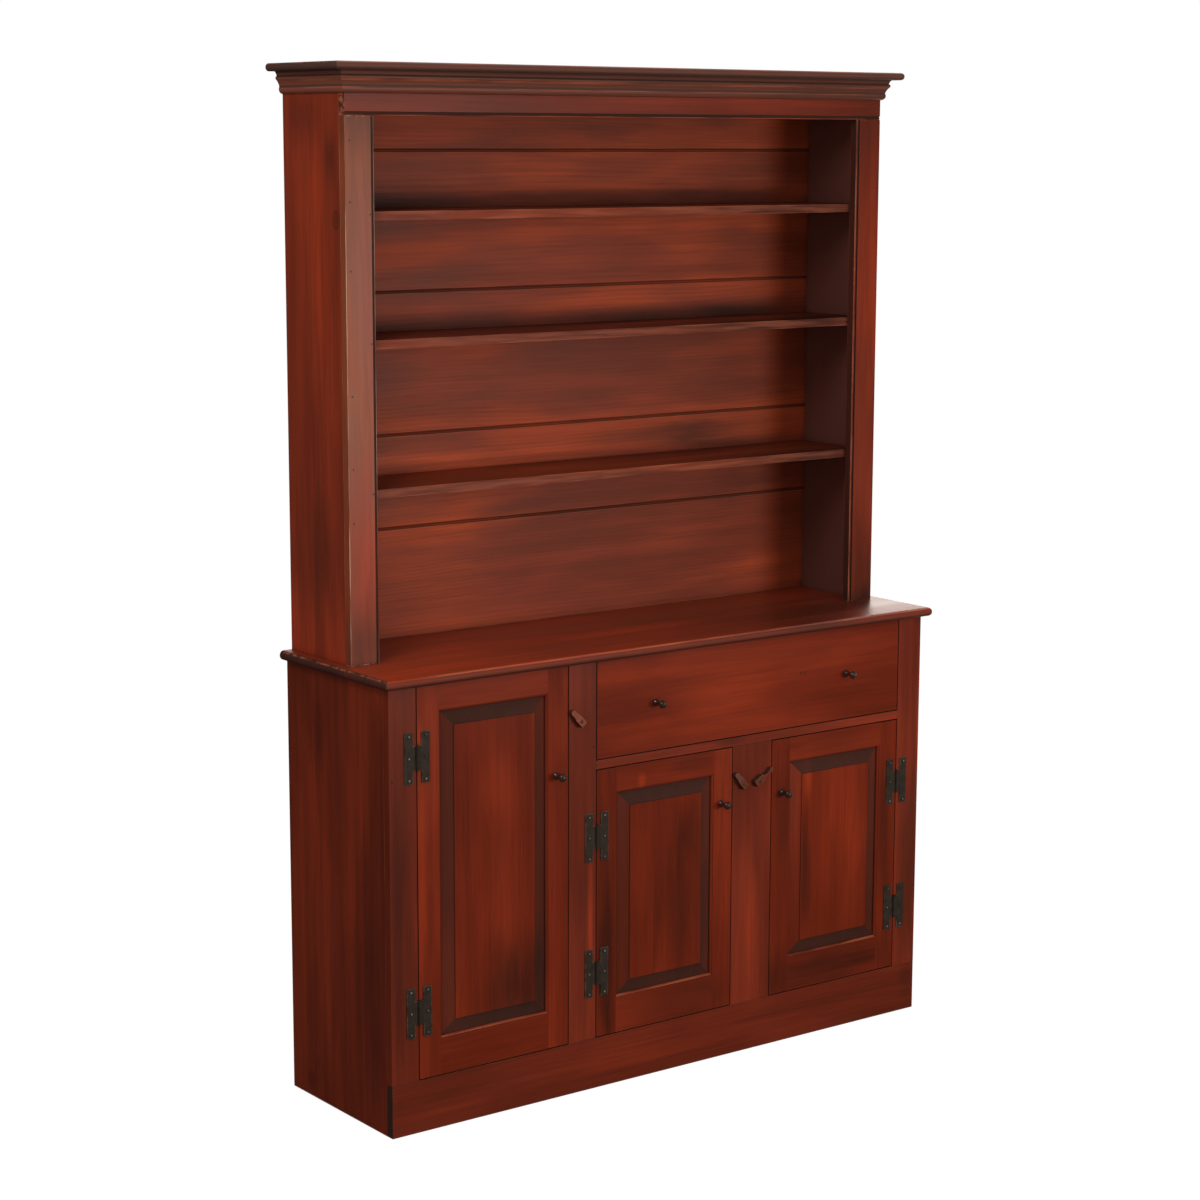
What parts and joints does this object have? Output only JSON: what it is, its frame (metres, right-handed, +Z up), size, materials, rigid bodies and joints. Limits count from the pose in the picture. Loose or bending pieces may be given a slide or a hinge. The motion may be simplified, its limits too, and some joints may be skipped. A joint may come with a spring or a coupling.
{
  "type": "step back cupboard",
  "caption": "Wooden step back cupboard: open shelved upper case with crown moulding on a base with raised-panel doors, a wide drawer, H hinges, knobs and turn buttons.",
  "frame": {"origin": "on the floor, in the middle of the overall box, from the knobs' tips to the back", "axes": "+X to the cupboard's right as seen from the front, +Y to its back, +Z up"},
  "size_m": [1.474, 0.42, 2.13],
  "materials": {
    "case_wood": "red-brown stain under satin lacquer",
    "door_wood": "red-brown stain under satin lacquer",
    "panel_wood": "red-brown stain under satin lacquer, darkened in the bevels",
    "hutch_wood": "red-brown stain under satin lacquer",
    "inner_wood": "plain planed softwood, lightly oiled",
    "knob_wood": "dark stain, glossy",
    "button_wood": "lighter stain, satin",
    "black_iron": "black forged iron, matte",
    "screw_steel": "darkened steel"
  },
  "bodies": {
    "cabinet": {"base_left_side": "case_wood", "base_right_side": "case_wood", "base_foot_rail": "case_wood", "base_left_stile": "case_wood", "base_middle_stile": "case_wood", "base_centre_stile": "case_wood", "base_right_stile": "case_wood", "drawer_rail": "case_wood", "counter_top": "case_wood", "upper_left_side": "case_wood", "upper_right_side": "case_wood", "upper_left_stile": "case_wood", "upper_right_stile": "case_wood", "upper_header": "case_wood", "crown_front": "case_wood", "crown_returns": "case_wood", "cap_board": "case_wood", "base_floor": "inner_wood", "base_partition": "inner_wood", "base_shelves": "inner_wood", "base_back_boards": "inner_wood", "drawer_runners": "inner_wood", "upper_shelves": "hutch_wood", "upper_back_boards": "hutch_wood", "cabinet_hinge_leaves": "black_iron", "cabinet_hinge_nails": "black_iron", "hinge_pins": "black_iron", "button_screws": "screw_steel"},
    "left_door": {"left_door_hinge_stile": "door_wood", "left_door_lock_stile": "door_wood", "left_door_foot_rail": "door_wood", "left_door_top_rail": "door_wood", "left_door_panel": "panel_wood", "left_door_knob": "knob_wood", "left_door_hinge_leaves": "black_iron", "left_door_hinge_nails": "black_iron"},
    "middle_door": {"middle_door_hinge_stile": "door_wood", "middle_door_lock_stile": "door_wood", "middle_door_foot_rail": "door_wood", "middle_door_top_rail": "door_wood", "middle_door_panel": "panel_wood", "middle_door_knob": "knob_wood", "middle_door_hinge_leaves": "black_iron", "middle_door_hinge_nails": "black_iron"},
    "right_door": {"right_door_hinge_stile": "door_wood", "right_door_lock_stile": "door_wood", "right_door_foot_rail": "door_wood", "right_door_top_rail": "door_wood", "right_door_panel": "panel_wood", "right_door_knob": "knob_wood", "right_door_hinge_leaves": "black_iron", "right_door_hinge_nails": "black_iron"},
    "drawer": {"drawer_front": "door_wood", "drawer_sides": "inner_wood", "drawer_back": "inner_wood", "drawer_bottom": "inner_wood", "drawer_knobs": "knob_wood"},
    "left_turn_button": {"left_turn_button": "button_wood"},
    "middle_turn_button": {"middle_turn_button": "button_wood"},
    "right_turn_button": {"right_turn_button": "button_wood"}
  },
  "joints": [
    {"name": "left_door_swing", "type": "hinge", "parent": "cabinet", "child": "left_door", "pos_m": [-0.646, -0.18405, 0.516], "axis": [0, 0, -1], "range_deg": [0, 170]},
    {"name": "middle_door_swing", "type": "hinge", "parent": "cabinet", "child": "middle_door", "pos_m": [-0.203, -0.18405, 0.401], "axis": [0, 0, -1], "range_deg": [0, 150]},
    {"name": "right_door_swing", "type": "hinge", "parent": "cabinet", "child": "right_door", "pos_m": [0.644, -0.18405, 0.401], "axis": [0, 0, 1], "range_deg": [0, 170]},
    {"name": "drawer_slide", "type": "slide", "parent": "cabinet", "child": "drawer", "axis": [0, -1, 0], "range_m": [0, 0.27]},
    {"name": "left_button_turn", "type": "hinge", "parent": "cabinet", "child": "left_turn_button", "pos_m": [-0.25, -0.186, 0.802], "axis": [0, 1, 0], "continuous": true},
    {"name": "middle_button_turn", "type": "hinge", "parent": "cabinet", "child": "middle_turn_button", "pos_m": [0.187, -0.186, 0.608], "axis": [0, 1, 0], "range_deg": [-180, 80]},
    {"name": "right_button_turn", "type": "hinge", "parent": "cabinet", "child": "right_turn_button", "pos_m": [0.232, -0.186, 0.608], "axis": [0, 1, 0], "range_deg": [-90, 165]}
  ]
}
